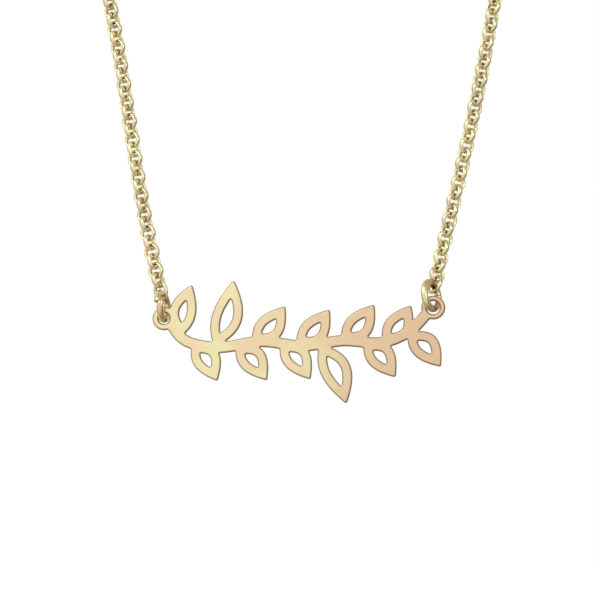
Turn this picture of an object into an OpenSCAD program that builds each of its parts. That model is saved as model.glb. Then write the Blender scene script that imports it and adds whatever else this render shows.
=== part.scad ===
// Nameplate necklace: a pierced gold plate on two jump rings and a fine chain of round links.
// The origin is at the nape, in the middle of the clasp. The plate hangs in front, facing -Y.

/* [Plate] */
// Distance between the middles of the two eyelet holes
eyelet_span = 32.7; // [28:0.1:40]
// Height of the right eyelet over the left one
eyelet_rise = 1; // [0:0.1:2]
// Thickness of the sheet that the plate is sawn from
plate_t = 0.55; // [0.5:0.05:0.6]
// Width of the stem of the pierced work; the leaves' walls follow it
stroke_w = 1.4; // [1.2:0.05:1.45]
// Outer diameter of the left eyelet
left_eyelet_d = 2.9; // [2.6:0.1:3.2]
// Hole of the left eyelet
left_hole_d = 1.35; // [1.35:0.05:1.5]
// Outer diameter of the right eyelet
right_eyelet_d = 2.9; // [2.8:0.1:3.2]
// Hole of the right eyelet
right_hole_d = 1.6; // [1.6:0.05:1.75]

/* [Rings] */
// Wire of the two jump rings
jump_wire_d = 0.88; // [0.8:0.02:0.88]
// Outer diameter of the jump rings
jump_d = 4.15; // [4:0.05:4.4]
// Wire of the last ring of each chain
end_wire_d = 0.45; // [0.4:0.05:0.5]
// Outer diameter of the last ring of each chain
end_d = 2.6; // [2.55:0.05:2.7]

/* [Chain] */
// Thickness of the oval wire of the round links, seen on a link's face
link_wire_d = 0.43; // [0.36:0.01:0.44]
// Width of that wire, seen on a link's edge
link_wire_w = 0.64; // [0.44:0.02:0.66]
// Hole of the round links
link_hole_d = 1.31; // [1.3:0.005:1.35]
// Clear gap between the wires of neighbouring links
link_gap = 0.105; // [0.1:0.005:0.15]
// Links modelled one by one on each side, from the plate up
open_links = 110; // [20:2:112]

/* [Clasp] */
// Outer diameter of the closed ring of the clasp
clasp_d = 5.5; // [5:0.5:6]
// Tube of the clasp
clasp_tube_d = 1; // [0.8:0.1:1.1]
// Outer diameter of the ring that the clasp holds
catch_d = 3.4; // [3.2:0.1:4]
// Wire of the ring that the clasp holds
catch_wire_d = 0.6; // [0.5:0.05:0.7]

/* [Wear] */
// How far the plate hangs in front of the nape
plate_forward = 100; // [90:1:110]
// How far the plate hangs below the nape
plate_drop = 138; // [128:1:148]

/* [Hidden] */
gold = [0.89, 0.78, 0.52];
chain_gold = [0.82, 0.75, 0.52];
ring_steps = 48;
wire_steps = 24;
plate_mid = [0, -plate_forward, -plate_drop];
// The neck's upright axis, which every second link faces
neck_axis = [0, -50];

function unit(v) = v / norm(v);
function mix(a, b, t) = a * (1 - t) + b * t;
function cubic(p, t) =
    p[0] * pow(1 - t, 3) + p[1] * 3 * pow(1 - t, 2) * t + p[2] * 3 * (1 - t) * t * t + p[3] * pow(t, 3);

// Leaf branch of the plate

// The stem, from eyelet to eyelet, as knots measured from the middle between the eyelets
stem_knots = [
    [-15.6, -1.1],
    [-13.6, -3.3],
    [-9.5, -4.1],
    [-4.5, -3.4],
    [0.5, -4.0],
    [5.5, -3.4],
    [10.0, -3.7],
    [13.4, -2.4],
    [15.6, -0.2],
];
// A row for each leaf: its foot on the stem, the way it points, its length, its width and its sideways bow
LEAF_X = 0;
LEAF_AIM = 1;
LEAF_LENGTH = 2;
LEAF_WIDTH = 3;
LEAF_BOW = 4;
leaves = [
    [-14.3, 78, 6.6, 3.3, 0.4],
    [-10.2, 74, 8.6, 3.7, -0.5],
    [-5.6, 47, 6.0, 3.4, -0.4],
    [-0.2, 47, 6.0, 3.4, -0.4],
    [5.2, 47, 6.0, 3.4, -0.4],
    [10.2, 52, 5.7, 3.4, -0.4],
    [-12.9, -56, 5.6, 3.4, 0.4],
    [-7.6, -48, 5.8, 3.4, 0.4],
    [-2.2, -50, 5.8, 3.4, 0.4],
    [2.6, -66, 8.0, 3.7, 0.5],
    [7.9, -48, 5.8, 3.4, 0.4],
    [13.2, -46, 5.8, 3.4, 0.4],
];
stem_steps = 6;
leaf_steps = 14;
line_w = 0.02;
// Wall round the opening of each leaf, a little slimmer than the stem, and the radius of its tip
leaf_wall = stroke_w - 0.18;
tip_r = 0.22;

function knot(i) = stem_knots[max(0, min(len(stem_knots) - 1, i))];
function stem_span(i, t) =
    0.5 * ((2 * knot(i)) + (knot(i + 1) - knot(i - 1)) * t
        + (2 * knot(i - 1) - 5 * knot(i) + 4 * knot(i + 1) - knot(i + 2)) * t * t
        + (3 * knot(i) - knot(i - 1) - 3 * knot(i + 1) + knot(i + 2)) * t * t * t);
stem_path = concat(
    [for (i = [0 : len(stem_knots) - 2], k = [0 : stem_steps - 1]) stem_span(i, k / stem_steps)],
    [knot(len(stem_knots) - 1)]);
function stem_height(x) = lookup(x, stem_path);

// One side of a leaf along its own length, pointed at both ends, with its belly nearer the foot
function leaf_side(row, side) = [
    for (k = [0 : leaf_steps])
        let (t = k / leaf_steps,
             belly = row[LEAF_WIDTH] * 2 * t * (1 - t) * (1.2 - 0.4 * t),
             bow = row[LEAF_BOW] * 4 * t * (1 - t))
        [row[LEAF_LENGTH] * t, side * belly + bow]];

module leaf_form(row) {
    far_side = leaf_side(row, 1);
    polygon(concat(leaf_side(row, -1), [for (k = [leaf_steps - 1 : -1 : 1]) far_side[k]]));
}

module leaf(row) {
    translate([row[LEAF_X], stem_height(row[LEAF_X])]) rotate(row[LEAF_AIM]) difference() {
        leaf_form(row);
        offset(delta = -leaf_wall) leaf_form(row);
    }
}

function side_step(path, i) =
    let (d = path[min(i + 1, len(path) - 1)] - path[max(i - 1, 0)]) unit([-d[1], d[0]]) * line_w / 2;
module hairline(path) {
    n = len(path) - 1;
    polygon(concat(
        [for (i = [0 : n]) path[i] + side_step(path, i)],
        [for (i = [n : -1 : 0]) path[i] - side_step(path, i)]));
}

left_eyelet = [-eyelet_span / 2, -eyelet_rise / 2];
right_eyelet = [eyelet_span / 2, eyelet_rise / 2];
module plate_outline() {
    offset(r = tip_r, $fn = 24) offset(delta = -tip_r) {
        offset(r = (stroke_w - line_w) / 2, $fn = 32) hairline(stem_path);
        for (row = leaves) leaf(row);
        translate(left_eyelet) circle(d = left_eyelet_d, $fn = 64);
        translate(right_eyelet) circle(d = right_eyelet_d, $fn = 64);
    }
}

module eyelet_bore(place, hole_d) {
    translate([place[0], 0, place[1]]) rotate([90, 0, 0])
        cylinder(d = hole_d, h = 3 * plate_t, center = true, $fn = 64);
}

module nameplate() {
    color(gold) translate(plate_mid) difference() {
        rotate([90, 0, 0]) translate([0, 0, -plate_t / 2]) linear_extrude(plate_t) plate_outline();
        eyelet_bore(left_eyelet, left_hole_d);
        eyelet_bore(right_eyelet, right_hole_d);
    }
}

// Rings

module ring(outer_d, wire_d) {
    rotate_extrude($fn = ring_steps) translate([(outer_d - wire_d) / 2, 0])
        circle(d = wire_d, $fn = wire_steps);
}

// A ring of oval wire, wire_w wide along the ring's axis
module oval_ring(outer_d, wire_d, wire_w) {
    rotate_extrude($fn = ring_steps) translate([(outer_d - wire_d) / 2, 0])
        scale([1, wire_w / wire_d]) circle(d = wire_d, $fn = wire_steps);
}

// Puts a ring so that x_way and y_way lie in its plane
module turn_to(place, x_way, y_way) {
    z_way = cross(x_way, y_way);
    multmatrix([
        [x_way[0], y_way[0], z_way[0], place[0]],
        [x_way[1], y_way[1], z_way[1], place[1]],
        [x_way[2], y_way[2], z_way[2], place[2]],
        [0, 0, 0, 1]]) children();
}

// A jump ring stands in its eyelet: how far it leans along the plate, how far it is turned off the plate's
// normal, how far from its top towards the back the chain pulls at it, and how far under the hole's middle
// its wire passes
LEAN = 0;
TURN = 1;
PULL = 2;
DROP = 3;
left_jump = [-7, 13, 0, 0.1];
right_jump = [-8, 29, 43, 0.15];
// How far the last ring of each chain is turned off the plate's normal
left_end_turn = 46;
right_end_turn = 45;
// How far the links are rolled off the way out from the neck: where they hang and where they are worn
left_roll = -8.5;
right_roll = -71.5;
worn_roll = -45;
// The length that hangs, and the length in which the roll changes
hang_length = 34;
roll_length = 60;
jump_r = (jump_d - jump_wire_d) / 2;
seam_w = 0.05;
seam_angle = seam_w / jump_r * 180 / PI;

function jump_up(row) = [sin(row[LEAN]), 0, cos(row[LEAN])];
function jump_back(row) =
    let (up = jump_up(row)) [sin(row[TURN]) * up[2], cos(row[TURN]), -sin(row[TURN]) * up[0]];
function in_plate(place) = plate_mid + [place[0], 0, place[1]];
function jump_mid(row, eyelet) = in_plate(eyelet) + jump_r * jump_up(row) - [0, 0, row[DROP]];
function jump_pull(row, eyelet) =
    jump_mid(row, eyelet) + jump_r * (cos(row[PULL]) * jump_up(row) + sin(row[PULL]) * jump_back(row));

// The ends of the wire meet in a fine seam, at the front on the left ring and at the back on the right one
module jump_ring(row, eyelet, seam_side) {
    color(gold) turn_to(jump_mid(row, eyelet), seam_side * jump_back(row), jump_up(row))
        rotate([0, 0, seam_angle / 2]) rotate_extrude(angle = 360 - seam_angle, $fn = ring_steps)
            translate([jump_r, 0]) circle(d = jump_wire_d, $fn = wire_steps);
}

module jump_ring_left() { jump_ring(left_jump, left_eyelet, -1); }
module jump_ring_right() { jump_ring(right_jump, right_eyelet, 1); }

// Chain route: on each side from the plate straight up, over the neck's side and round to the nape

link_d = link_hole_d + 2 * link_wire_d;
end_hole_d = end_d - 2 * end_wire_d;
eye_d = 2.2;
eye_wire_d = 0.5;
eye_hole_d = eye_d - 2 * eye_wire_d;
clasp_ring_d = 2.4;
clasp_ring_wire_d = 0.45;
clasp_ring_hole_d = clasp_ring_d - 2 * clasp_ring_wire_d;
catch_hole_d = catch_d - 2 * catch_wire_d;
clasp_hole_d = clasp_d - 2 * clasp_tube_d;
// Two linked rings are this far apart, middle to middle
function link_pitch(hole_a, hole_b) = (hole_a + hole_b) / 2 - link_gap;

// Unit ways in which the chains leave the jump rings
left_leave = unit([-0.26, 0.04, 1]);
right_leave = unit([0.18, 0.5, 1]);
end_seat = (end_hole_d - jump_wire_d) / 2 - 1.5 * link_gap;
left_start = jump_pull(left_jump, left_eyelet) + end_seat * left_leave;
right_start = jump_pull(right_jump, right_eyelet) + end_seat * right_leave;

eye_x = -(clasp_d / 2 + eye_hole_d / 2 - 0.05);
clasp_ring_left_x = eye_x - link_pitch(eye_hole_d, clasp_ring_hole_d);
clasp_ring_right_x = link_pitch(clasp_hole_d, catch_hole_d);

// A row for each knot of a route: its place, the way through it, and how far the curve keeps to that way
// before it and after it
PLACE = 0;
WAY = 1;
BEFORE = 2;
AFTER = 3;
left_knots = [
    [left_start, left_leave, 0, 13],
    [plate_mid + [-23.65, 1.2, 39], [-0.2, 0, 1], 14, 24],
    [[-45, -57, -29], [-9, 15, 20], 27, 23],
    [[clasp_ring_left_x, 0, 0], [1, 0, 0], 27, 0],
];
right_knots = [
    [right_start, right_leave, 0, 8],
    [plate_mid + [24.1, 4, 39], [0.16, 0.15, 1], 16, 24],
    [[46, -57, -29], [9, 15, 20], 27, 24],
    [[clasp_ring_right_x, 0, 0], [-1, 0, 0], 28, 0],
];
curve_steps = 100;
function knot_curve(a, b) =
    [a[PLACE], a[PLACE] + a[AFTER] * unit(a[WAY]), b[PLACE] - b[BEFORE] * unit(b[WAY]), b[PLACE]];
function route_points(knots) = concat(
    [for (i = [1 : len(knots) - 1], k = [0 : curve_steps - 1])
        cubic(knot_curve(knots[i - 1], knots[i]), k / curve_steps)],
    [knots[len(knots) - 1][PLACE]]);
function running(steps, i = 0, sum = 0) =
    i == len(steps) ? [sum] : concat([sum], running(steps, i + 1, sum + steps[i]));
function route_reach(points) = running([for (i = [1 : len(points) - 1]) norm(points[i] - points[i - 1])]);
// A route is its points and how far along the chain each one lies
function route(knots) = let (points = route_points(knots)) [points, route_reach(points)];
function reach(way) = way[1][len(way[1]) - 1];
function axis_table(way, axis) = [for (i = [0 : len(way[1]) - 1]) [way[1][i], way[0][i][axis]]];
function tables(way) = [for (axis = [0 : 2]) axis_table(way, axis)];
function at(table, s) = [for (axis = [0 : 2]) lookup(s, table[axis])];
function ahead(table, s) = unit(at(table, s + 0.5) - at(table, s - 0.5));
// The way out from the neck, square to the chain and rolled about it
function outward(table, s, first_roll) =
    let (p = at(table, s), t = ahead(table, s),
         out = unit([p[0] - neck_axis[0], p[1] - neck_axis[1], 0]),
         square_out = unit(out - (out * t) * t),
         roll = lookup(s, [[hang_length, first_roll], [hang_length + roll_length, worn_roll]]))
    cos(roll) * square_out + sin(roll) * cross(t, square_out);

left_route = route(left_knots);
right_route = route(right_knots);
left_table = tables(left_route);
right_table = tables(right_route);

// Even numbers of links, so that the first one and the last one stand square to the rings they hold
first_pitch = link_pitch(end_hole_d, link_hole_d);
function link_room(way, last_hole) = reach(way) - first_pitch - link_pitch(link_hole_d, last_hole);
function link_count(way, last_hole) =
    2 * ceil((link_room(way, last_hole) / link_pitch(link_hole_d, link_hole_d) + 1) / 2);
function link_step(way, last_hole) = link_room(way, last_hole) / (link_count(way, last_hole) - 1);
left_step = link_step(left_route, clasp_ring_hole_d);
right_step = link_step(right_route, catch_hole_d);

// Every second link stands a quarter turn about the chain from its neighbours
module chain_link(table, step, first_roll, i) {
    s = first_pitch + i * step;
    t = ahead(table, s);
    out = outward(table, s, first_roll);
    turn_to(at(table, s), t, i % 2 == 0 ? out : cross(t, out))
        oval_ring(link_d, link_wire_d, link_wire_w);
}

module open_chain(table, step, first_roll) {
    color(chain_gold) for (i = [0 : open_links - 1]) chain_link(table, step, first_roll, i);
}

module chain_left() { open_chain(left_table, left_step, left_roll); }
module chain_right() { open_chain(right_table, right_step, right_roll); }

// The rest of the chain, as one tube of the links' outer width
tube_sides = 8;
tube_ring_gap = 5;
tube_clear = 0.15;

function tube_ring(table, s) =
    let (p = at(table, s), t = ahead(table, s), out = outward(table, s, worn_roll), side = cross(t, out))
    [for (k = [0 : tube_sides - 1])
        p + link_d / 2 * (out * cos(360 * k / tube_sides) + side * sin(360 * k / tube_sides))];

module chain_tube(table, from_s, to_s) {
    n = ceil((to_s - from_s) / tube_ring_gap);
    rings = [for (i = [0 : n]) tube_ring(table, mix(from_s, to_s, i / n))];
    color(chain_gold) polyhedron(
        points = [for (r = rings, p = r) p],
        faces = concat(
            [[for (k = [0 : tube_sides - 1]) k]],
            [for (i = [0 : n - 1], k = [0 : tube_sides - 1])
                let (a = i * tube_sides + k, b = i * tube_sides + (k + 1) % tube_sides)
                [b, a, a + tube_sides]],
            [for (i = [0 : n - 1], k = [0 : tube_sides - 1])
                let (a = i * tube_sides + k, b = i * tube_sides + (k + 1) % tube_sides)
                [b, a + tube_sides, b + tube_sides]],
            [[for (k = [tube_sides - 1 : -1 : 0]) n * tube_sides + k]]));
}

function tube_start(step) = first_pitch + (open_links - 1) * step + link_d / 2 + tube_clear;
module chain_back_left() {
    chain_tube(left_table, tube_start(left_step), reach(left_route) - clasp_ring_d / 2 - tube_clear);
}
module chain_back_right() {
    chain_tube(right_table, tube_start(right_step), reach(right_route) - catch_d / 2 - tube_clear);
}

// The last ring of each chain: it holds the jump ring and the first link
module end_ring(place, leave, turn) {
    side = unit(cross([sin(turn), cos(turn), 0], leave));
    color(gold) turn_to(place, leave, side) ring(end_d, end_wire_d);
}

module end_ring_left() { end_ring(left_start, left_leave, left_end_turn); }
module end_ring_right() { end_ring(right_start, right_leave, right_end_turn); }

// Clasp, closed, lying flat on the nape

clasp_r = (clasp_d - clasp_tube_d) / 2;
sleeve_d = 1.3;
sleeve_angle = 64;
knob_d = 0.7;
knob_h = 1.2;
knob_angle = 50;

module clasp() {
    color(gold) rotate([90, 0, 0]) union() {
        ring(clasp_d, clasp_tube_d);
        rotate([0, 0, 180 - sleeve_angle / 2]) rotate_extrude(angle = sleeve_angle, $fn = ring_steps)
            translate([clasp_r, 0]) circle(d = sleeve_d, $fn = wire_steps);
        translate([eye_x, 0, 0]) ring(eye_d, eye_wire_d);
        rotate([0, 0, knob_angle]) translate([clasp_r, 0, 0]) rotate([0, 90, 0])
            cylinder(d = knob_d, h = knob_h, $fn = wire_steps);
    }
}

module clasp_ring_left() {
    color(gold) translate([clasp_ring_left_x, 0, 0]) ring(clasp_ring_d, clasp_ring_wire_d);
}
module clasp_ring_right() {
    color(gold) translate([clasp_ring_right_x, 0, 0]) ring(catch_d, catch_wire_d);
}

nameplate();
jump_ring_left();
jump_ring_right();
end_ring_left();
end_ring_right();
chain_left();
chain_right();
chain_back_left();
chain_back_right();
clasp();
clasp_ring_left();
clasp_ring_right();
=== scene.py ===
"""Studio scene of a leaf-branch nameplate necklace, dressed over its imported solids.

Each class below is one sub-assembly of the necklace or of the studio. Lengths are in metres,
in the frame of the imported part: +Z up, the plate facing -Y, the origin at the nape. Angles are
in radians, but for the classes that say degrees.
"""
import logging
import math
from dataclasses import dataclass, field
from enum import Enum

import bmesh
import bpy
import numpy as np
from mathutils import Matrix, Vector, geometry


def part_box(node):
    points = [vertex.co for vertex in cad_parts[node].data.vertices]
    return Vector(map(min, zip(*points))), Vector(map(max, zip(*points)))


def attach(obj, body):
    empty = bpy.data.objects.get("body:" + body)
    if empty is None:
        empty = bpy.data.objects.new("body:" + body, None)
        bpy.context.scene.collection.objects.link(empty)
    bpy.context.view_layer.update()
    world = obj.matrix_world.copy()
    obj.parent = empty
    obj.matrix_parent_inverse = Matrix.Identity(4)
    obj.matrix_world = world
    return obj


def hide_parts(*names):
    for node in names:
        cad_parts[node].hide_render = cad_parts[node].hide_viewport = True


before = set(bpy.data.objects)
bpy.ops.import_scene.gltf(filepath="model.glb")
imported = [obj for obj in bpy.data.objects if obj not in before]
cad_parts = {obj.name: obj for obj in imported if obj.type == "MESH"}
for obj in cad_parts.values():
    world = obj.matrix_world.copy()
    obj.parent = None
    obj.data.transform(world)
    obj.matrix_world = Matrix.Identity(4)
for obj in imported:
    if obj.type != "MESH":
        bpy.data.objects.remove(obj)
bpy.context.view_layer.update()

LOG = logging.getLogger("necklace")
MM = 0.001
FULL_TURN = 2 * math.pi
QUARTER_TURN = math.pi / 2
WHITE = (1.0, 1.0, 1.0)
TONE_LAYER = "tone"
MID_LIGHT = 0.5

Triple = tuple[float, float, float]
Colour = Triple
Array = np.ndarray
Item = bpy.types.Object
Socket = bpy.types.NodeSocket
Material = bpy.types.Material


class Side(Enum):
    """The two sides of the necklace, as seen from the front."""

    LEFT = "left"
    RIGHT = "right"


class Body(Enum):
    """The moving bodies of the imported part."""

    NECKLACE = "necklace"
    PLATE = "plate"


class Slot(Enum):
    """Names for the three gold material slots; the script doesn't use them."""

    PLATE = "plate_gold"
    RING = "ring_gold"
    CHAIN = "chain_gold"


def unit(way: Array) -> Array:
    """Scales a vector, or each row of vectors, to length one."""
    return way / np.linalg.norm(way, axis=-1, keepdims=True)


def mm(x: float, y: float, z: float) -> Array:
    """Gives a point in metres from millimetres."""
    return np.array([x, y, z]) * MM


def wrapped(angle: Array) -> Array:
    """Brings angles into the half turn on each side of zero."""
    return (angle + math.pi) % FULL_TURN - math.pi


def full_round(count: int) -> Array:
    """Gives evenly spaced angles over one full turn."""
    return np.linspace(0, FULL_TURN, count, endpoint=False)


def hump(angle: Array, width: float) -> Array:
    """Gives a smooth hump of height one about angle zero."""
    return np.exp(-(wrapped(angle) / width) ** 2)


def inner_side(around: Array, sharpness: float) -> Array:
    """Gives how much a wire's skin faces the middle of its ring, from 0 to 1."""
    return (0.5 - 0.5 * np.cos(around)) ** sharpness


def tones_of(dirt_and_shade: Array, light: Array | float = MID_LIGHT) -> Array:
    """Pairs how much dirt and painted shade each point has with how light it is, both from 0 to 1."""
    return np.column_stack([dirt_and_shade.ravel(), np.broadcast_to(light, dirt_and_shade.shape).ravel()])


def linear(*channels: int) -> Colour:
    """Turns display red, green and blue of 0 to 255 into scene light, by the usual display curve."""
    parts = [channel / 255 for channel in channels]
    return tuple(part / 12.92 if part <= 0.04045 else ((part + 0.055) / 1.055) ** 2.4 for part in parts)


def into_scene(name: str, data: bpy.types.ID) -> Item:
    """Makes an object of a mesh, lamp or camera and links it to the scene.

    Args:
        name: The object's name.
        data: What it shows.

    Returns:
        The new object.
    """
    item = bpy.data.objects.new(name, data)
    bpy.context.scene.collection.objects.link(item)
    return item


# Finishes


@dataclass(frozen=True)
class Ramp:
    """A smooth way from one value to another while an input runs from its start to its end."""

    start: float
    end: float
    low: float = 0.0
    high: float = 1.0

    def scaled(self, factor: float) -> "Ramp":
        """Gives the same ramp between scaled values."""
        return Ramp(self.start, self.end, self.low * factor, self.high * factor)


@dataclass
class NodeDesk:
    """Adds and joins the nodes of one node tree, from empty."""

    tree: bpy.types.NodeTree

    def __post_init__(self) -> None:
        """Empties the tree."""
        self.tree.nodes.clear()

    def add(self, kind: str, *values: object, **named: object) -> bpy.types.Node:
        """Adds a node, makes its settings, and sets or joins its inputs.

        Args:
            kind: The node's type without its ShaderNode prefix.
            *values: Values or sockets for its first inputs.
            **named: Settings by small name. Values or sockets by the input's name, with _ for a space.

        Returns:
            The new node.
        """
        node = self.tree.nodes.new("ShaderNode" + kind)
        for name, value in named.items():
            if name.islower():
                setattr(node, name, value)
            else:
                self.feed(node.inputs[name.replace("_", " ")], value)
        for socket, value in zip(node.inputs, values):
            self.feed(socket, value)
        return node

    def feed(self, socket: Socket, value: object) -> None:
        """Sets an input, or joins another node's output to it.

        Args:
            socket: The input.
            value: A value, a colour or a socket.
        """
        if isinstance(value, Socket):
            self.tree.links.new(value, socket)
        elif socket.type == "RGBA":
            socket.default_value = (*value, 1)
        else:
            socket.default_value = value

    def show(self, shader: bpy.types.Node, out: str = "OutputMaterial") -> None:
        """Joins a shader to the tree's output."""
        self.add(out, Surface=shader.outputs[0])

    def sums(self, operation: str, first: object, second: object) -> Socket:
        """Does arithmetic on two values or sockets."""
        return self.add("Math", first, second, operation=operation).outputs[0]

    def span(self, value: Socket, ramp: Ramp) -> Socket:
        """Runs a value along a ramp, and keeps it at the ramp's ends beyond them."""
        return self.add("MapRange", interpolation_type="SMOOTHSTEP", Value=value, From_Min=ramp.start,
                        From_Max=ramp.end, To_Min=ramp.low, To_Max=ramp.high).outputs["Result"]

    def blend(self, share: Socket, first: object, second: object) -> Socket:
        """Mixes two colours.

        Args:
            share: How much of the second colour shows.
            first: A colour or a socket.
            second: A colour or a socket.

        Returns:
            The mixed colour's socket.
        """
        node = self.add("Mix", share, data_type="RGBA")
        sockets = [socket for socket in node.inputs if socket.type == "RGBA"]
        for socket, colour in zip(sockets, (first, second)):
            self.feed(socket, colour)
        return next(socket for socket in node.outputs if socket.type == "RGBA")

    def noise(self, place: Socket, cell: float, stretch: Triple = (1, 1, 1), detail: float = 2) -> Socket:
        """Gives smooth noise over the coordinates, with cells of a real size, stretched along each axis."""
        mapping = self.add("Mapping", Vector=place, Scale=tuple(1 / (cell * part) for part in stretch))
        return self.add("TexNoise", Vector=mapping.outputs[0], Scale=1.0, Detail=detail).outputs[0]


def blank_material(name: str) -> tuple[Material, NodeDesk]:
    """Starts a material.

    Args:
        name: The material's name.

    Returns:
        The material, and the desk of its empty node tree.
    """
    material = bpy.data.materials.new(name)
    material.use_nodes = True
    return material, NodeDesk(material.node_tree)


@dataclass(frozen=True)
class GoldFinish:
    """Polished gold whose tone drifts from place to place, with dirt and painted shade where the pieces'
    tones say so.
    """

    name: str
    bright: Colour
    warm: Colour
    # The dark colour that the tone layer's red channel mixes in, for dirt and for painted shade.
    dirt_and_shade: Colour
    roughness: float
    drift_cell: float
    drift: Ramp = Ramp(0.35, 0.65)
    piece_light: Ramp = Ramp(0, 1, 0.9, 1.04)
    patches: Ramp = Ramp(0.3, 0.75, 0.45)
    patch_cell: float = 0.35 * MM
    # dull is how far that dark mix also takes away the metal's shine.
    dull: float = 0.0
    ripple: float = 0.1
    ripple_cell: float = 0.5 * MM
    scratch: float = 0.05
    scratch_cell: float = 0.05 * MM
    scratch_stretch: Triple = (14, 14, 1)
    bump_strength: float = 0.35
    bump_height: float = 0.03 * MM
    wear: Ramp = Ramp(0.3, 0.7, 0.75, 1.35)
    wear_cell: float = 0.8 * MM
    dirt_and_shade_rough: float = 0.2

    def base(self, desk: NodeDesk, place: Socket) -> Socket:
        """Gives the colour of the clean metal at the object coordinates."""
        drift = desk.span(desk.noise(place, self.drift_cell), self.drift)
        return desk.blend(drift, self.bright, self.warm)

    def relief(self, desk: NodeDesk, place: Socket) -> Socket:
        """Gives the normals of the metal, with its ripple and its polishing marks.

        Args:
            desk: The node tree at work.
            place: The object coordinates.

        Returns:
            The normals' socket.
        """
        ripple = desk.sums("MULTIPLY", desk.noise(place, self.ripple_cell, detail=1), self.ripple)
        scratches = desk.noise(place, self.scratch_cell, self.scratch_stretch)
        marks = desk.sums("ADD", ripple, desk.sums("MULTIPLY", scratches, self.scratch))
        bump = desk.add("Bump", Height=marks, Strength=self.bump_strength, Distance=self.bump_height)
        return bump.outputs[0]

    def material(self) -> Material:
        """Builds the material.

        Returns:
            The new material.
        """
        gold, desk = blank_material(self.name)
        place = desk.add("TexCoord").outputs["Object"]
        tone = desk.add("Attribute", attribute_name=TONE_LAYER)
        tones = desk.add("SeparateColor", Color=tone.outputs["Color"]).outputs
        clean = desk.add("VectorMath", operation="SCALE", Vector=self.base(desk, place),
                         Scale=desk.span(tones["Green"], self.piece_light))
        # The tone layer's red channel, broken into noise patches, is the dirt and painted shade: it darkens
        # the colour, roughens the metal and, where dull is set, takes away its shine.
        patches = desk.span(desk.noise(place, self.patch_cell, detail=3), self.patches)
        dirt_and_shade = desk.sums("MULTIPLY", tones["Red"], patches)
        colour = desk.blend(dirt_and_shade, clean.outputs[0], self.dirt_and_shade)
        worn = desk.span(desk.noise(place, self.wear_cell, detail=3), self.wear.scaled(self.roughness))
        rough = desk.sums("ADD", worn, desk.sums("MULTIPLY", dirt_and_shade, self.dirt_and_shade_rough))
        metallic = desk.sums("SUBTRACT", 1.0, desk.sums("MULTIPLY", dirt_and_shade, self.dull)) if self.dull else 1.0
        desk.show(desk.add("BsdfPrincipled", Base_Color=colour, Metallic=metallic, Roughness=rough,
                           Normal=self.relief(desk, place), Specular_IOR_Level=0.0))
        return gold


@dataclass(frozen=True)
class PlateFinish(GoldFinish):
    """Gold of the plate, with a painted reflection that turns it from pale yellow on the left to rose on the
    right.
    """

    # The rose on the right is a painted reflection.
    rose: Colour = linear(222, 191, 154)
    turn: Ramp = Ramp(-6 * MM, 15 * MM)
    wander: float = 14 * MM
    wander_cell: float = 6 * MM

    def base(self, desk: NodeDesk, place: Socket) -> Socket:
        """Gives the clean metal's colour, with the painted reflection's turn to rose laid over the drift.

        Args:
            desk: The node tree at work.
            place: The object coordinates.

        Returns:
            The colour's socket.
        """
        clean = GoldFinish.base(self, desk, place)
        along = desk.add("SeparateXYZ", Vector=place).outputs["X"]
        either_way = desk.sums("SUBTRACT", desk.noise(place, self.wander_cell), 0.5)
        wandering = desk.sums("ADD", along, desk.sums("MULTIPLY", either_way, self.wander))
        return desk.blend(desk.span(wandering, self.turn), clean, self.rose)


# The plate's dark colour is painted shade: with dull at one it turns the rounded rim flat dark brown.
PLATE_GOLD = PlateFinish(
    "plate_polish", bright=linear(232, 222, 172), warm=linear(231, 207, 167), dirt_and_shade=linear(64, 44, 14),
    roughness=0.2, drift_cell=4.5 * MM, patches=Ramp(0.3, 0.75, 0.95), dull=1.0,
    ripple=0.14, ripple_cell=1.6 * MM, scratch=0.012)
# The rings' and links' dark colours stand for dirt and painted shade in their joints.
RING_GOLD = GoldFinish(
    "ring_polish", bright=linear(224, 212, 162), warm=linear(217, 188, 145), dirt_and_shade=linear(62, 45, 16),
    roughness=0.14, drift_cell=2.5 * MM)
CHAIN_GOLD = GoldFinish(
    "chain_polish", bright=linear(232, 224, 174), warm=linear(228, 208, 166), dirt_and_shade=linear(74, 60, 22),
    roughness=0.16, drift_cell=1.6 * MM)


# Mesh work


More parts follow.
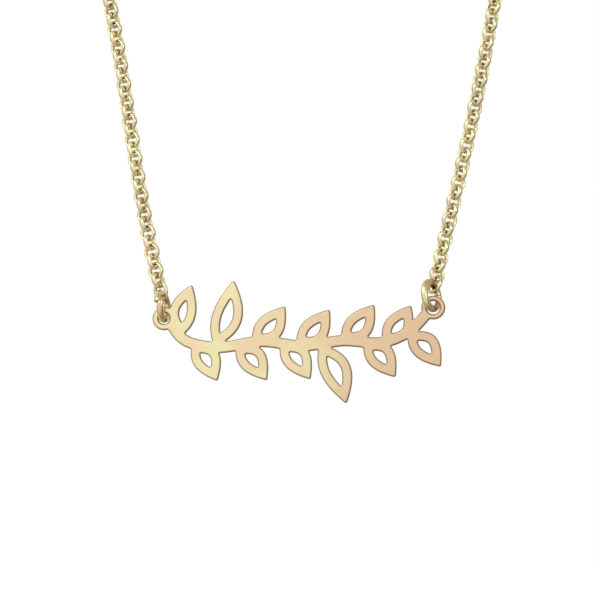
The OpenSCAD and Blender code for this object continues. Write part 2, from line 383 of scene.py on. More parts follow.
@dataclass
class Mold:
    """Gathers the points, faces and tones of one piece, and casts it as an object."""

    name: str
    points: list[Array] = field(default_factory=list)
    faces: list[Array] = field(default_factory=list)
    tones: list[Array] = field(default_factory=list)
    count: int = 0

    def add(self, points: Array, faces: Array, tones: Array | None = None) -> None:
        """Adds a shell.

        Args:
            points: One row of three coordinates a point.
            faces: One row of point numbers a face.
            tones: How much dirt and painted shade each point has, and how light it is. Without them the
                shell has no dirt and no painted shade.
        """
        self.points.append(points)
        self.faces.append(faces + self.count)
        self.tones.append(tones_of(np.zeros(len(points))) if tones is None else tones)
        self.count += len(points)

    def cap(self, rim: Array, dirt_and_shade: float = 0.0, flip: bool = False) -> None:
        """Closes a ring of points with a fan of faces.

        Args:
            rim: The points of the ring.
            dirt_and_shade: How much dirt and painted shade the cap has.
            flip: Whether it faces the other way.
        """
        sides = len(rim)
        edge = np.arange(sides)
        fan = np.stack([edge, (edge + 1) % sides, np.full(sides, sides)], axis=-1)
        disc = np.vstack([rim, rim.mean(axis=0)])
        self.add(disc, fan[:, ::-1] if flip else fan, tones_of(np.full(len(disc), dirt_and_shade)))

    def cast(self, finish: Material, normals: Array | None = None) -> Item:
        """Makes the object.

        Args:
            finish: Its material.
            normals: The exact normal of each point, if the shape needs them.

        Returns:
            The new object, in the scene.
        """
        mesh = bpy.data.meshes.new(self.name)
        faces = [face for shell in self.faces for face in shell.tolist()]
        mesh.from_pydata(np.concatenate(self.points).tolist(), [], faces)
        mesh.polygons.foreach_set("use_smooth", [True] * len(mesh.polygons))
        tones = np.concatenate(self.tones)
        layer = mesh.color_attributes.new(TONE_LAYER, "FLOAT_COLOR", "POINT")
        colours = np.column_stack([tones, np.zeros(len(tones)), np.ones(len(tones))])
        layer.data.foreach_set("color", colours.ravel())
        mesh.materials.append(finish)
        mesh.validate()
        mesh.update()
        if normals is not None:
            mesh.normals_split_custom_set_from_vertices(normals.tolist())
        return into_scene(self.name, mesh)


def tube_faces(turns: int, sides: int, closed: bool) -> Array:
    """Gives the faces of a tube of point rings.

    Args:
        turns: How many rings of points it has.
        sides: How many points each ring has.
        closed: Whether the last ring joins the first one.

    Returns:
        One row of four point numbers a face.
    """
    steps = np.arange(turns if closed else turns - 1)[:, None]
    side = np.arange(sides)
    here, ahead = steps * sides, (steps + 1) % turns * sides
    beside = (side + 1) % sides
    return np.stack([here + side, ahead + side, ahead + beside, here + beside], axis=-1).reshape(-1, 4)


@dataclass(frozen=True)
class RingPlace:
    """Where a ring stands: its middle, and two unit ways in its plane."""

    middle: Array
    across: Array
    along: Array

    def put(self, points: Array) -> Array:
        """Moves points from the ring's own axes to their place."""
        axes = np.column_stack([self.across, self.along, np.cross(self.across, self.along)])
        return points @ axes.T + self.middle


@dataclass(frozen=True)
class RingSize:
    """How wide a ring is outside, and how thick its wire is."""

    outer: float
    wire: float

    @property
    def radius(self) -> float:
        """The radius of the wire's middle line."""
        return (self.outer - self.wire) / 2

    @property
    def hole(self) -> float:
        """How wide the ring's hole is."""
        return self.outer - 2 * self.wire


@dataclass(frozen=True)
class WireRing:
    """A ring of round wire, soldered shut or with its ends meeting in a seam.

    A seam may sit away from angle zero, and its last end may be bent sideways out of the ring's plane and
    drawn in by a share of the radius.
    """

    size: RingSize
    seam: float = 0.0
    seam_at: float = 0.0
    bent: float = 0.0
    drawn_in: float = 0.0
    bend_power: float = 1.5
    solder: float = 0.05
    solder_at: float = 1.9
    solder_width: float = 0.13
    # Where neighbours rub on the inner side, and on the sawn ends' caps, the wire gets dirt and painted
    # shade.
    rub_width: float = 0.5
    rub_sharpness: float = 1.5
    cut_dirt_and_shade: float = 0.8
    end_round: float = 0.05 * MM
    end_steps: int = 6
    turns: int = 96
    sides: int = 28

    def tube(self, angles: Array, wire: Array) -> Array:
        """Gives the points of the wire's skin.

        Args:
            angles: Where each ring of points lies round the ring.
            wire: The wire's radius at each of them.

        Returns:
            The points, in the ring's own axes.
        """
        around = full_round(self.sides)
        reach = self.size.radius + wire[:, None] * np.cos(around)
        return np.stack([reach * np.cos(angles)[:, None], reach * np.sin(angles)[:, None],
                         wire[:, None] * np.sin(around)], axis=-1).reshape(-1, 3)

    def pour(self, mold: Mold, place: RingPlace, dirt_and_shade_at: tuple[float, ...] = ()) -> None:
        """Adds the ring to a piece.

        Args:
            mold: The piece.
            place: Where the ring stands.
            dirt_and_shade_at: The angles where neighbours rub on its inner side, which get dirt and painted
                shade.
        """
        angles, points = self._open_skin() if self.seam else self._closed_skin()
        points = place.put(points)
        # Dirt and painted shade on the inner side wherever a neighbour rubs.
        near = np.zeros(len(angles))
        for angle in dirt_and_shade_at:
            near = np.maximum(near, hump(angles - angle, self.rub_width))
        tones = tones_of(near[:, None] * inner_side(full_round(self.sides), self.rub_sharpness))
        mold.add(points, tube_faces(len(angles), self.sides, not self.seam), tones)
        # The sawn ends' caps get dirt and painted shade, darkening the seam.
        if self.seam:
            mold.cap(points[:self.sides], self.cut_dirt_and_shade)
            mold.cap(points[-self.sides:], self.cut_dirt_and_shade, flip=True)

    def _closed_skin(self) -> tuple[Array, Array]:
        """Shapes a ring that is soldered shut.

        Returns:
            The angles of its rings of points, and the points in the ring's own axes.
        """
        angles = full_round(self.turns)
        swell = self.solder * hump(angles - self.solder_at, self.solder_width)
        return angles, self.tube(angles, self.size.wire / 2 * (1 + swell))

    def _open_skin(self) -> tuple[Array, Array]:
        """Shapes a ring whose sawn ends stand a seam apart, with their edges rounded.

        Returns:
            The angles of its rings of points, and the points in the ring's own axes.
        """
        gap, bevel = self.seam / 2 / self.size.radius, self.end_round / self.size.radius
        curl = np.linspace(0, QUARTER_TURN, self.end_steps)
        opening, shrink = bevel * (1 - np.cos(curl)), self.end_round * (1 - np.sin(curl))
        body = np.linspace(gap + bevel, FULL_TURN - gap - bevel, self.turns)[1:-1]
        turned = np.concatenate([gap + opening, body, FULL_TURN - gap - opening[::-1]])
        wire = np.full(len(turned), self.size.wire / 2)
        wire[:self.end_steps] -= shrink
        wire[-self.end_steps:] -= shrink[::-1]
        angles = turned + self.seam_at
        points = self.tube(angles, wire)
        last_quarter = np.clip(turned / QUARTER_TURN - 3, 0, 1)
        askew = np.repeat(last_quarter ** self.bend_power, self.sides)
        points[:, 2] += self.bent * askew
        points[:, :2] *= (1 - self.drawn_in * askew)[:, None]
        return angles, points


# Where the necklace's pieces stand, with the values of the part's source


@dataclass(frozen=True)
class Layout:
    """The sizes that the pieces share, and the places that follow from them."""

    plate_mid: Array = field(default_factory=lambda: mm(0, -100, -138))
    eyelet_reach: float = 16.35 * MM
    eyelet_rise: float = 0.5 * MM
    jump: RingSize = RingSize(4.15 * MM, 0.88 * MM)
    end: RingSize = RingSize(2.6 * MM, 0.45 * MM)
    end_gaps: float = 1.5
    link_wire: float = 0.43 * MM
    link_wide: float = 0.64 * MM
    link_hole: float = 1.31 * MM
    link_gap: float = 0.105 * MM
    open_links: int = 110
    clasp: RingSize = RingSize(5.5 * MM, 1 * MM)
    eye: RingSize = RingSize(2.2 * MM, 0.5 * MM)
    eye_sink: float = 0.05 * MM
    loop: RingSize = RingSize(2.4 * MM, 0.45 * MM)
    catch: RingSize = RingSize(3.4 * MM, 0.6 * MM)

    def pitch(self, hole: float, next_hole: float) -> float:
        """Gives how far apart the middles of two linked rings are."""
        return (hole + next_hole) / 2 - self.link_gap

    @property
    def eye_x(self) -> float:
        """Where the clasp's eye lies along X."""
        return -(self.clasp.outer / 2 + self.eye.hole / 2 - self.eye_sink)

    @property
    def last_rings(self) -> dict[Side, tuple[float, RingSize]]:
        """Where the ring that each side's chain ends in lies along X, and its size."""
        return {Side.LEFT: (self.eye_x - self.pitch(self.eye.hole, self.loop.hole), self.loop),
                Side.RIGHT: (self.pitch(self.clasp.hole, self.catch.hole), self.catch)}


LAYOUT = Layout()


@dataclass(frozen=True)
class JumpSeat:
    """How a jump ring stands in its eyelet, and how the chain leaves it, with angles in degrees.

    Its hand is -1 on the left and 1 on the right.
    """

    hand: int
    lean: float
    turn: float
    drop: float
    pull: float
    leave: Array
    end_turn: float
    roll: float

    @property
    def eyelet(self) -> Array:
        """The middle of the eyelet."""
        return LAYOUT.plate_mid + self.hand * np.array([LAYOUT.eyelet_reach, 0, LAYOUT.eyelet_rise])

    @property
    def up(self) -> Array:
        """The way from the eyelet to the ring's middle."""
        lean = math.radians(self.lean)
        return np.array([math.sin(lean), 0, math.cos(lean)])

    @property
    def back(self) -> Array:
        """The way in the ring's plane that points behind the plate."""
        turn = math.radians(self.turn)
        return np.array([math.sin(turn) * self.up[2], math.cos(turn), -math.sin(turn) * self.up[0]])

    @property
    def jump_place(self) -> RingPlace:
        """Where the jump ring stands."""
        middle = self.eyelet + LAYOUT.jump.radius * self.up - [0, 0, self.drop]
        return RingPlace(middle, self.hand * self.back, self.up)

    @property
    def pulled_at(self) -> float:
        """The angle in the jump ring where the end ring pulls."""
        return QUARTER_TURN - self.hand * math.radians(self.pull)

    @property
    def end_place(self) -> RingPlace:
        """Where the end ring stands, from whose middle the chain runs."""
        pull, turn = math.radians(self.pull), math.radians(self.end_turn)
        pulled = LAYOUT.jump.radius * (math.cos(pull) * self.up + math.sin(pull) * self.back)
        rest = (LAYOUT.end.hole - LAYOUT.jump.wire) / 2 - LAYOUT.end_gaps * LAYOUT.link_gap
        flank = unit(np.cross([math.sin(turn), math.cos(turn), 0], self.leave))
        return RingPlace(self.jump_place.middle + pulled + rest * self.leave, self.leave, flank)


SEATS = {
    Side.LEFT: JumpSeat(hand=-1, lean=-7, turn=13, drop=0.1 * MM, pull=0,
                        leave=unit(np.array([-0.26, 0.04, 1])), end_turn=46, roll=-8.5),
    Side.RIGHT: JumpSeat(hand=1, lean=-8, turn=29, drop=0.15 * MM, pull=43,
                         leave=unit(np.array([0.18, 0.5, 1])), end_turn=45, roll=-71.5)}


@dataclass(frozen=True)
class Knot:
    """A place on a chain's route, the way through it, and how far the curve keeps to that way."""

    place: Array
    way: Array
    before: float
    after: float


@dataclass
class ChainRoute:
    """The line of one chain: up from its end ring, over the neck's side, and round to the nape.

    Its rolls are in degrees.
    """

    side: Side
    curve_steps: int = 100
    look: float = 0.5 * MM
    hang_length: float = 34 * MM
    roll_length: float = 60 * MM
    worn_roll: float = -45.0
    neck_mid: tuple[float, float] = (0.0, -50 * MM)
    points: Array = field(init=False)
    reach: Array = field(init=False)

    def knots(self) -> tuple[Knot, ...]:
        """Gives the knots of the route.

        Returns:
            The knots, from the end ring to the nape.
        """
        start, leave = SEATS[self.side].end_place.middle, SEATS[self.side].leave
        nape = np.array([LAYOUT.last_rings[self.side][0], 0, 0])
        if self.side is Side.LEFT:
            return (Knot(start, leave, 0, 13 * MM),
                    Knot(LAYOUT.plate_mid + mm(-23.65, 1.2, 39), np.array([-0.2, 0.0, 1]), 14 * MM, 24 * MM),
                    Knot(mm(-45, -57, -29), np.array([-9.0, 15, 20]), 27 * MM, 23 * MM),
                    Knot(nape, np.array([1.0, 0, 0]), 27 * MM, 0))
        return (Knot(start, leave, 0, 8 * MM),
                Knot(LAYOUT.plate_mid + mm(24.1, 4, 39), np.array([0.16, 0.15, 1]), 16 * MM, 24 * MM),
                Knot(mm(46, -57, -29), np.array([9.0, 15, 20]), 27 * MM, 24 * MM),
                Knot(nape, np.array([-1.0, 0, 0]), 28 * MM, 0))

    def __post_init__(self) -> None:
        """Lays the route out as points with their distance along the chain."""
        knots = self.knots()
        share = np.linspace(0, 1, self.curve_steps, endpoint=False)[:, None]
        runs = []
        for here, there in zip(knots, knots[1:]):
            out = here.place + here.after * unit(here.way)
            into = there.place - there.before * unit(there.way)
            runs.append(here.place * (1 - share) ** 3 + 3 * out * (1 - share) ** 2 * share
                        + 3 * into * (1 - share) * share ** 2 + there.place * share ** 3)
        self.points = np.vstack([*runs, knots[-1].place])
        strides = np.linalg.norm(np.diff(self.points, axis=0), axis=1)
        self.reach = np.concatenate([[0.0], np.cumsum(strides)])

    def at(self, along: Array) -> Array:
        """Gives the points at these distances along the chain."""
        return np.stack([np.interp(along, self.reach, self.points[:, axis]) for axis in range(3)], axis=-1)

    def ahead(self, along: Array) -> Array:
        """Gives the way the chain runs at these distances."""
        return unit(self.at(along + self.look) - self.at(along - self.look))

    def outward(self, along: Array) -> Array:
        """Gives the way out from the neck, square to the chain and rolled about it.

        Args:
            along: Distances along the chain.

        Returns:
            One unit way a distance.
        """
        place, way = self.at(along), self.ahead(along)
        out = unit(np.column_stack([place[:, :2] - self.neck_mid, np.zeros(len(place))]))
        square = unit(out - np.sum(out * way, axis=1, keepdims=True) * way)
        rolled = (self.hang_length, self.hang_length + self.roll_length)
        roll = np.radians(np.interp(along, rolled, (SEATS[self.side].roll, self.worn_roll)))
        return np.cos(roll)[:, None] * square + np.sin(roll)[:, None] * np.cross(way, square)

    def link_places(self) -> Array:
        """Spreads an even number of links over the chain.

        Returns:
            How far along the chain the middle of each link lies.
        """
        first = LAYOUT.pitch(LAYOUT.end.hole, LAYOUT.link_hole)
        last_hole = LAYOUT.last_rings[self.side][1].hole
        room = self.reach[-1] - first - LAYOUT.pitch(LAYOUT.link_hole, last_hole)
        pitch = LAYOUT.pitch(LAYOUT.link_hole, LAYOUT.link_hole)
        count = 2 * math.ceil((room / pitch + 1) / 2)
        return first + np.arange(count) * room / (count - 1)


# The necklace


def settle(piece: Item, node: str, body: Body = Body.NECKLACE) -> None:
    """Puts a piece in the place of its solid and reports it.

    Args:
        piece: The finished piece.
        node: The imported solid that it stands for.
        body: The body that it moves with.
    """
    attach(piece, body.value)
    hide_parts(node)
    LOG.info("%s: %d faces for %s", piece.name, len(piece.data.polygons), node)


@dataclass
class LinkChain:
    """One side's chain of soldered round links of oval wire. The links sway by degrees."""

    side: Side
    turns: int = 40
    sides: int = 16
    solder: float = 0.09
    solder_width: float = 0.16
    solder_stray: float = 0.3
    uneven: float = 0.01
    # Each link's inner side gets dirt and painted shade where its neighbours rub.
    rub_width: float = 0.55
    rub_sharpness: float = 1.3
    rub_dirt_and_shade: float = 0.85
    sway: float = 2.2
    seed: int = 11
    rng: np.random.Generator = field(init=False)

    def __post_init__(self) -> None:
        """Seeds the small differences between links, apart for each side."""
        self.rng = np.random.default_rng(self.seed + len(self.side.value))

    def axes(self, route: ChainRoute, along: Array) -> Array:
        """Gives the axes of each link, every second one turned by a quarter and all swayed a little.

        Args:
            route: The chain's line.
            along: How far along it each link lies.

        Returns:
            One 3 by 3 array a link, with the axes as columns.
        """
        way, out = route.ahead(along), route.outward(along)
        flank = np.where((np.arange(len(along)) % 2 == 0)[:, None], out, np.cross(way, out))
        axes = np.stack([way, flank, np.cross(way, flank)], axis=-1)
        tilt = np.radians(self.rng.normal(0, self.sway, (len(axes), 3)).clip(-2 * self.sway, 2 * self.sway))
        for first, second, column in ((0, 1, 2), (1, 2, 0), (0, 2, 1)):
            cos, sin = np.cos(tilt[:, column])[:, None], np.sin(tilt[:, column])[:, None]
            a, b = axes[:, :, first].copy(), axes[:, :, second].copy()
            axes[:, :, first] = cos * a + sin * b
            axes[:, :, second] = cos * b - sin * a
        return axes

    def skins(self, count: int) -> Array:
        """Gives the skins of some links, each with a solder joint on one flank.

        Args:
            count: How many links.

        Returns:
            The points in each link's own axes, by link, step round the link and side of the wire.
        """
        angles, around = full_round(self.turns), full_round(self.sides)
        flank = self.rng.choice([-1.0, 1.0], count)
        joint_at = flank * (QUARTER_TURN + self.rng.normal(0, self.solder_stray, count))
        joint = hump(angles - joint_at[:, None], self.solder_width)
        stout = self.rng.normal(1, self.uneven, (count, 1))
        thick = LAYOUT.link_wire / 2 * (1 + self.solder * joint) * stout
        reach = (LAYOUT.link_hole + LAYOUT.link_wire) / 2 + thick[:, :, None] * np.cos(around)
        level = thick[:, :, None] * LAYOUT.link_wide / LAYOUT.link_wire * np.sin(around)
        return np.stack([reach * np.cos(angles)[:, None], reach * np.sin(angles)[:, None], level], axis=-1)

    def pour(self, mold: Mold, middles: Array, axes: Array) -> None:
        """Adds links to a piece.

        Args:
            mold: The piece.
            middles: The middle of each link.
            axes: The axes of each link.
        """
        count = len(middles)
        points = np.einsum("nij,ntsj->ntsi", axes, self.skins(count)) + middles[:, None, None, :]
        block = tube_faces(self.turns, self.sides, True)
        faces = block + (np.arange(count) * self.turns * self.sides)[:, None, None]
        # Dirt and painted shade on the inner side at both ends of each link, where its neighbours rub.
        angles = full_round(self.turns)
        rubbed = np.maximum(hump(angles, self.rub_width), hump(angles - math.pi, self.rub_width))
        inner = inner_side(full_round(self.sides), self.rub_sharpness)
        dirt_and_shade = np.broadcast_to(self.rub_dirt_and_shade * rubbed[:, None] * inner, (count, self.turns, self.sides))
        light = self.rng.uniform(0, 1, count)[:, None, None]
        mold.add(points.reshape(-1, 3), faces.reshape(-1, 4), tones_of(dirt_and_shade, light))

    def build(self, finish: Material) -> None:
        """Builds the front and the back stretch of the chain.

        Args:
            finish: The chain's material.
        """
        route = ChainRoute(self.side)
        along = route.link_places()
        middles, axes = route.at(along), self.axes(route, along)
        for stretch, part in (("", slice(LAYOUT.open_links)), ("back_", slice(LAYOUT.open_links, None))):
            mold = Mold(f"links_{stretch}{self.side.value}")
            self.pour(mold, middles[part], axes[part])
            settle(mold.cast(finish), f"chain_{stretch}{self.side.value}")


@dataclass
class RingSet:
    """The jump rings and end rings between the plate and the chains."""

    seam: float = 0.05 * MM
    seam_at: float = math.radians(15)
    bent: float = -0.36 * MM
    drawn_in: float = 0.045

    def build(self, finish: Material) -> None:
        """Builds the rings of both sides. The left jump ring's ends don't meet true.

        Args:
            finish: The rings' material.
        """
        for side, seat in SEATS.items():
            jump, end = Mold(f"jump_wire_{side.value}"), Mold(f"end_wire_{side.value}")
            askew = (self.seam_at, self.bent, self.drawn_in) if side is Side.LEFT else ()
            # Both rings get dirt and painted shade where their neighbours rub.
            WireRing(LAYOUT.jump, self.seam, *askew).pour(
                jump, seat.jump_place, dirt_and_shade_at=(-QUARTER_TURN, seat.pulled_at))
            settle(jump.cast(finish), f"jump_ring_{side.value}")
            WireRing(LAYOUT.end).pour(end, seat.end_place, dirt_and_shade_at=(0.0, math.pi))
            settle(end.cast(finish), f"end_ring_{side.value}")


@dataclass
class NapeClasp:
    """The spring ring at the nape, with its eye, thumb pin and the rings on both sides."""

    sleeve: float = 1.3 * MM
    sleeve_half: float = math.radians(32)
    sleeve_edge: float = 0.035
    gate_thin: float = 0.07 * MM
    gate_from: float = math.radians(-38)
    gate_to: float = math.radians(40)
    gate_edge: float = 0.035 / 3
    pin_at: float = math.radians(50)
    pin_reach: float = 1.2 * MM
    pin_stem: float = 0.2 * MM
    pin_head: float = 0.35 * MM
    pin_neck: float = 0.62
    pin_bevel: float = 0.66
    bevel_share: float = 0.85
    pin_rim: float = 0.7
    pin_dome: float = 0.8
    dome_turn: float = 1.5
    dome_steps: int = 7
    pin_sides: int = 24
    ring_turns: int = 288
    ring_sides: int = 36
    flat_turns: int = 72
    flat_sides: int = 24

    def tube_radius(self, angles: Array) -> Array:
        """Gives the tube's radius round the clasp: a sleeve at the eye and a thinner gate.

        Args:
            angles: Where it is asked for, round the clasp.

        Returns:
            One radius an angle.
        """
        half_tube = LAYOUT.clasp.wire / 2
        from_eye = np.abs(wrapped(angles - math.pi))
        on_sleeve = np.sqrt(np.clip((self.sleeve_half - from_eye) / self.sleeve_edge, 0, 1))
        flat = wrapped(angles)
        in_gate = np.clip(np.minimum(flat - self.gate_from, self.gate_to - flat) / self.gate_edge, 0, 1)
        return half_tube + (self.sleeve / 2 - half_tube) * on_sleeve - self.gate_thin * in_gate

    def pour_pin(self, mold: Mold, place: RingPlace) -> None:
        """Adds the thumb pin: a stem from the tube's middle with a domed head.

        Args:
            mold: The clasp.
            place: Where the clasp's ring stands.
        """
        # Each row is a share of the pin's reach, and the pin's radius there
        rows = [(0.0, self.pin_stem), (self.pin_neck, self.pin_stem),
                (self.pin_bevel, self.pin_head * self.bevel_share), (self.pin_rim, self.pin_head)]
        rows += [(self.pin_dome + (1 - self.pin_dome) * math.sin(angle), self.pin_head * math.cos(angle))
                 for angle in np.linspace(0, self.dome_turn, self.dome_steps)]
        out = np.array([math.cos(self.pin_at), math.sin(self.pin_at), 0])
        flank = np.array([-out[1], out[0], 0])
        around = full_round(self.pin_sides)[:, None]
        rim = np.cos(around) * np.array([0, 0, 1.0]) + np.sin(around) * flank
        foot = LAYOUT.clasp.radius
        points = place.put(np.vstack([(foot + share * self.pin_reach) * out + radius * rim
                                      for share, radius in rows]))
        mold.add(points, tube_faces(len(rows), self.pin_sides, False))
        mold.cap(points[-self.pin_sides:], flip=True)

    def build(self, finish: Material) -> None:
        """Builds the clasp and the rings that it holds.

        Args:
            finish: The rings' material.
        """
        across = np.array([1.0, 0, 0])
        upright = RingPlace(np.zeros(3), across, np.array([0, 0, 1.0]))
        ring = WireRing(LAYOUT.clasp, turns=self.ring_turns, sides=self.ring_sides)
        angles = full_round(ring.turns)
        clasp = Mold("spring_ring")
        clasp.add(upright.put(ring.tube(angles, self.tube_radius(angles))),
                  tube_faces(ring.turns, ring.sides, True))
        WireRing(LAYOUT.eye, solder=0).pour(clasp, RingPlace(LAYOUT.eye_x * across, across, upright.along))
        self.pour_pin(clasp, upright)
        settle(clasp.cast(finish), "clasp")
        for side, (x, size) in LAYOUT.last_rings.items():
            mold = Mold(f"clasp_wire_{side.value}")
            flat_place = RingPlace(x * across, across, np.array([0, 1.0, 0]))
            # The end rings get dirt and painted shade where their neighbours rub.
            WireRing(size, turns=self.flat_turns, sides=self.flat_sides).pour(
                mold, flat_place, dirt_and_shade_at=(0.0, math.pi))
            settle(mold.cast(finish), f"clasp_ring_{side.value}")


@dataclass(frozen=True)
class RimProfile:
    """A sheet's rounded edge: where each step lies along Y, and how much it faces back and sideways."""

    level: Array
    face_on: Array
    side_on: Array


@dataclass
class NamePlate:
    """The pierced plate, with its sawn edges smoothed and rounded over."""

    fine: float = 0.03 * MM
    spacing: float = 0.075 * MM
    smooth: float = 0.07 * MM
    least_points: int = 24
    hole_steps: int = 96
    near_eyelet: float = 0.05 * MM
    edge_round: float = 0.23 * MM
    edge_steps: int = 5
    # Painted shade along the rounded rim, darkest and widest where the rim faces down and to the right, the
    # way given last; the flat middle of the wall stays lighter.
    rim_dark: float = 0.92
    rim_narrow: float = 0.55
    rim_wide: float = 0.2
    wall_polish: float = 0.5
    wall_sharpness: float = 8
    shaded_way: tuple[float, float] = (0.7, -0.71)
    grid: float = 1e-7
    level_within: float = 1e-6
    sliver: float = 1e-16

    def rim_loops(self, node: Item) -> list[Array]:
        """Reads the rim of the solid's front face.

        Args:
            node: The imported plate.

        Returns:
            Closed loops of points in X and Z, with the metal on their left.
        """
        places = np.array([node.matrix_world @ vertex.co for vertex in node.data.vertices])
        front_y = places[:, 1].min()
        key = [tuple(np.round(place[[0, 2]] / self.grid).astype(int)) for place in places]
        spot = {}
        edges = set()
        for face in node.data.polygons:
            corners = list(face.vertices)
            if max(places[corners, 1]) > front_y + self.level_within:
                continue
            for first, second in zip(corners, corners[1:] + corners[:1]):
                spot[key[first]], spot[key[second]] = places[first][[0, 2]], places[second][[0, 2]]
                edges.add((key[first], key[second]))
        follow = {first: second for first, second in edges if (second, first) not in edges}
        loops = []
        while follow:
            start, here = follow.popitem()
            loop = [start]
            while here != start:
                loop.append(here)
                here = follow.pop(here)
            loops.append(np.array([spot[point] for point in loop]))
        return loops

    def resampled(self, loop: Array, spacing: float) -> Array:
        """Lays points evenly round a closed loop.

        Args:
            loop: The loop's points.
            spacing: How far apart the new points lie.

        Returns:
            The new points.
        """
        closed = np.vstack([loop, loop[:1]])
        reach = np.concatenate([[0.0], np.cumsum(np.linalg.norm(np.diff(closed, axis=0), axis=1))])
        count = max(self.least_points, round(reach[-1] / spacing))
        along = np.linspace(0, reach[-1], count, endpoint=False)
        return np.column_stack([np.interp(along, reach, closed[:, axis]) for axis in (0, 1)])

    def smoothed(self, loop: Array) -> Array:
        """Rounds off what a saw and a polishing wheel would, and lays the points evenly.

        Args:
            loop: The loop's points.

        Returns:
            The points of the smooth loop.
        """
        even = self.resampled(loop, self.fine)
        waves = np.fft.fft(even[:, 0] + 1j * even[:, 1])
        rate = np.fft.fftfreq(len(even), d=self.fine)
        soft = np.fft.ifft(waves * np.exp(-2 * (math.pi * self.smooth * rate) ** 2))
        return self.resampled(np.column_stack([soft.real, soft.imag]), self.spacing)

    def trued(self, loop: Array) -> Array:
        """Makes an eyelet's hole a true circle, and smooths any other loop.

        Args:
            loop: The loop's points.

        Returns:
            The points of the true loop.
        """
        for seat in SEATS.values():
            eyelet = seat.eyelet[[0, 2]]
            if np.linalg.norm(loop.mean(axis=0) - eyelet) < self.near_eyelet:
                radius = np.linalg.norm(loop - eyelet, axis=1).max()
                turn = -full_round(self.hole_steps)
                return eyelet + radius * np.column_stack([np.cos(turn), np.sin(turn)])
        return self.smoothed(loop)

    def profile(self, front: float, back: float) -> RimProfile:
        """Works out the rounded edge.

        Args:
            front: Where the front face lies along Y.
            back: Where the back face lies.

        Returns:
            The edge's profile, from the back face to the front face.
        """
        curl = np.linspace(0, QUARTER_TURN, self.edge_steps + 1)
        rise, aside = np.sin(curl), np.cos(curl)
        off_middle = (back - front) / 2 - self.edge_round * (1 - rise)
        return RimProfile(level=(back + front) / 2 + np.concatenate([off_middle[::-1], -off_middle]),
                          face_on=np.concatenate([rise[::-1], -rise]),
                          side_on=np.concatenate([aside[::-1], aside]))

    def rim_painted_shade(self, inner: Array, side_on: Array) -> Array:
        """Gives the painted shade of the rim, a wider band where it faces down and to the right.

        Args:
            inner: The way into the metal at each point of the loop, in X and Z.
            side_on: How much each step of the edge faces sideways, as a column.

        Returns:
            How much painted shade each point has, with a row for each step of the edge.
        """
        facing = np.clip(-inner @ self.shaded_way, 0, 1)
        spread = self.rim_narrow + (self.rim_wide - self.rim_narrow) * facing
        # The flat middle of the wall gets less of the painted shade.
        polish = 1 - self.wall_polish * side_on ** self.wall_sharpness
        return side_on ** spread * (self.rim_dark + (1 - self.rim_dark) * facing) * polish

    def pour_wall(self, mold: Mold, loop: Array, rim: RimProfile) -> tuple[Array, Array]:
        """Adds the wall and the rounded edges along one loop.

        Args:
            mold: The plate.
            loop: The loop's points in X and Z.
            rim: The edge's profile.

        Returns:
            The numbers of the wall's points, with a row for each step of the edge, and their normals.
        """
        step = np.roll(loop, -1, axis=0) - np.roll(loop, 1, axis=0)
        inner = unit(np.column_stack([-step[:, 1], step[:, 0]]))
        side_on = rim.side_on[:, None]
        flat = loop + ((1 - side_on) * self.edge_round)[..., None] * inner
        shape = flat.shape[:2]
        level = np.broadcast_to(rim.level[:, None], shape)
        face_on = np.broadcast_to(rim.face_on[:, None], shape)
        points = np.stack([flat[..., 0], level, flat[..., 1]], axis=-1).reshape(-1, 3)
        normals = np.stack([-side_on * inner[:, 0], face_on, -side_on * inner[:, 1]], axis=-1).reshape(-1, 3)
        numbers = mold.count + np.arange(len(points)).reshape(shape)
        # The wall's tones carry the rim's painted shade.
        mold.add(points, tube_faces(*shape, False)[:, ::-1], tones_of(self.rim_painted_shade(inner, side_on)))
        return numbers, normals

    def pour_faces(self, mold: Mold, walls: list[Array]) -> None:
        """Adds the front and the back face between the walls.

        Args:
            mold: The plate, with its walls.
            walls: The numbers of each wall's points, with a row for each step of the edge.
        """
        places = np.concatenate(mold.points)[:, [0, 2]]
        outline = [places[wall[-1]] for wall in walls]
        triangles = np.array(geometry.tessellate_polygon(
            [[Vector((x, z, 0)) for x, z in loop] for loop in outline]))
        a, b, c = (np.vstack(outline)[triangles[:, corner]] for corner in range(3))
        turned = (b[:, 0] - a[:, 0]) * (c[:, 1] - a[:, 1]) - (b[:, 1] - a[:, 1]) * (c[:, 0] - a[:, 0])
        triangles[turned < 0] = triangles[turned < 0][:, ::-1]
        triangles = triangles[np.abs(turned) > self.sliver]
        front, back = (np.concatenate([wall[row] for wall in walls]) for row in (-1, 0))
        mold.faces += [front[triangles], back[triangles][:, ::-1]]

    def build(self, node: Item, finish: Material) -> None:
        """Builds the plate over its solid.

        Args:
            node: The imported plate.
            finish: The plate's material.
        """
        low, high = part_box("nameplate")
        rim = self.profile(low[1], high[1])
        mold = Mold("leaf_plate")
        poured = [self.pour_wall(mold, self.trued(loop), rim) for loop in self.rim_loops(node)]
        walls, normals = zip(*poured)
        self.pour_faces(mold, walls)
        settle(mold.cast(finish, np.concatenate(normals)), "nameplate", Body.PLATE)


# The studio


@dataclass(frozen=True)
class SoftLight:
    """A soft square light that looks at the plate."""

    name: str
    place: Array
    size: float
    power: float

    def build(self, aim: Array) -> None:
        """Adds the light to the scene.

        Args:
            aim: Where it looks.
        """
        light = bpy.data.lights.new(self.name, "AREA")
        light.energy = self.power
        light.size = self.size
        lamp = into_scene(self.name, light)
        lamp.location = self.place
        lamp.rotation_euler = Vector(aim - self.place).to_track_quat("-Z", "Y").to_euler()


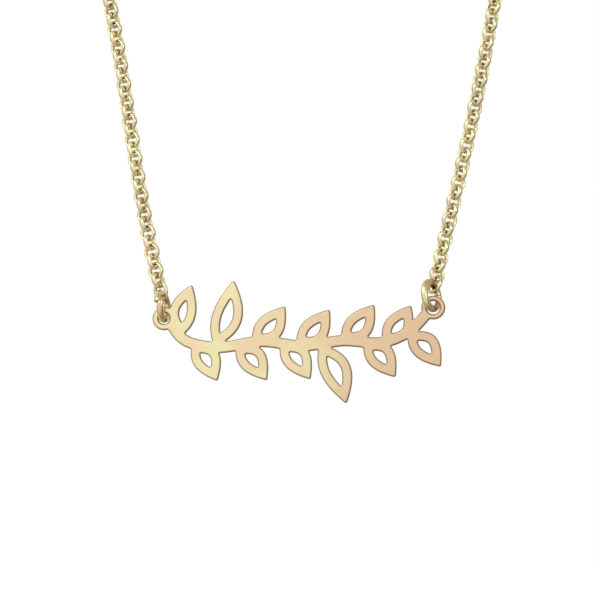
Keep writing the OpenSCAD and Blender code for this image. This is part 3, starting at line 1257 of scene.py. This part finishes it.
@dataclass
class Studio:
    """White surroundings, a light tent seen only in the metal, and the camera, placed by degrees."""

    aim: Array = field(default_factory=lambda: mm(0.236, -100, -136.4))
    frame_width: float = 72.7 * MM
    lens: float = 120.0
    sensor: float = 36.0
    nearest: float = 0.01
    from_right: float = 5.0
    from_below: float = 7.0
    floor_z: float = -195 * MM
    floor_half: float = 2.5
    floor_grey: float = 0.9
    floor_rough: float = 0.9
    floor_glow: float = 0.12
    tent_radius: float = 1.0
    tent_glow: float = 0.4
    glow_ahead: Ramp = Ramp(0.3, 0.85, high=0.58)
    glow_behind: Ramp = Ramp(-0.45, -0.92, high=0.5)
    glow_left: Ramp = Ramp(0.15, -0.75, high=0.32)
    glow_top: Ramp = Ramp(-0.1, 0.75, high=0.25)
    lights: tuple[SoftLight, ...] = (
        SoftLight("window", mm(-260, -520, 240), size=0.35, power=1.2),
        SoftLight("fill", mm(420, -420, -20), size=0.25, power=0.35))

    def build(self) -> None:
        """Sets up the view, the floor, the tent and the lights."""
        view = bpy.context.scene.view_settings
        view.view_transform = "Standard"
        view.look = "None"
        self.build_camera()
        self.build_world()
        self.build_floor()
        self.build_tent()
        for light in self.lights:
            light.build(self.aim)

    def build_camera(self) -> None:
        """Places the camera a little below and to the right of the plate."""
        lens = bpy.data.cameras.new("camera")
        lens.lens = self.lens
        lens.sensor_width = self.sensor
        lens.clip_start = self.nearest
        distance = self.frame_width / 2 / (self.sensor / 2 / self.lens)
        right, below = math.radians(self.from_right), math.radians(self.from_below)
        way = np.array([math.sin(right) * math.cos(below), -math.cos(right) * math.cos(below),
                        -math.sin(below)])
        camera = into_scene("camera", lens)
        camera.location = self.aim + distance * way
        camera.rotation_euler = Vector(-way).to_track_quat("-Z", "Y").to_euler()
        bpy.context.scene.camera = camera

    def build_world(self) -> None:
        """Makes the surroundings plain white."""
        world = bpy.data.worlds.new("white_room")
        world.use_nodes = True
        desk = NodeDesk(world.node_tree)
        desk.show(desk.add("Background", Color=WHITE, Strength=1.0), "OutputWorld")
        bpy.context.scene.world = world

    def build_floor(self) -> Item:
        """Lays the pale floor well below the necklace.

        Returns:
            The floor, which the metal doesn't mirror.
        """
        mesh = bpy.data.meshes.new("floor")
        half = self.floor_half
        mesh.from_pydata([(-half, -half, self.floor_z), (half, -half, self.floor_z),
                          (half, half, self.floor_z), (-half, half, self.floor_z)], [], [(0, 1, 2, 3)])
        paint, desk = blank_material("pale_floor")
        desk.show(desk.add("BsdfPrincipled", Base_Color=(self.floor_grey,) * 3, Roughness=self.floor_rough,
                           Emission_Color=WHITE, Emission_Strength=self.floor_glow))
        mesh.materials.append(paint)
        floor = into_scene("floor", mesh)
        floor.visible_glossy = False
        return floor

    def build_tent(self) -> Item:
        """Builds the light tent: brightest before and behind the plate, and brighter left than right.

        Returns:
            The tent, which shows only as a mirror image in the metal.
        """
        mesh = bpy.data.meshes.new("light_tent")
        form = bmesh.new()
        bmesh.ops.create_uvsphere(form, u_segments=48, v_segments=24, radius=self.tent_radius)
        form.to_mesh(mesh)
        form.free()
        cloth, desk = blank_material("tent_cloth")
        way = desk.add("VectorMath", desk.add("TexCoord").outputs["Object"], operation="NORMALIZE")
        axes = desk.add("SeparateXYZ", way.outputs[0]).outputs
        front = desk.sums("MULTIPLY", axes["Y"], -1.0)
        glow = self.tent_glow
        for toward, ramp in ((front, self.glow_ahead), (front, self.glow_behind),
                             (axes["X"], self.glow_left), (axes["Z"], self.glow_top)):
            glow = desk.sums("ADD", glow, desk.span(toward, ramp))
        desk.show(desk.add("Emission", Color=WHITE, Strength=glow))
        mesh.materials.append(cloth)
        tent = into_scene("light_tent", mesh)
        tent.location = self.aim
        tent.visible_camera = False
        tent.visible_diffuse = False
        tent.visible_shadow = False
        tent.visible_transmission = False
        return tent


def main() -> None:
    """Builds the studio and the necklace in order."""
    logging.basicConfig(level=logging.INFO, format="%(name)s: %(message)s")
    Studio().build()
    plate_gold, ring_gold, chain_gold = (finish.material() for finish in (PLATE_GOLD, RING_GOLD, CHAIN_GOLD))
    NamePlate().build(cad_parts["nameplate"], plate_gold)
    RingSet().build(ring_gold)
    for side in Side:
        LinkChain(side).build(chain_gold)
    NapeClasp().build(ring_gold)


if __name__ == "__main__":
    main()
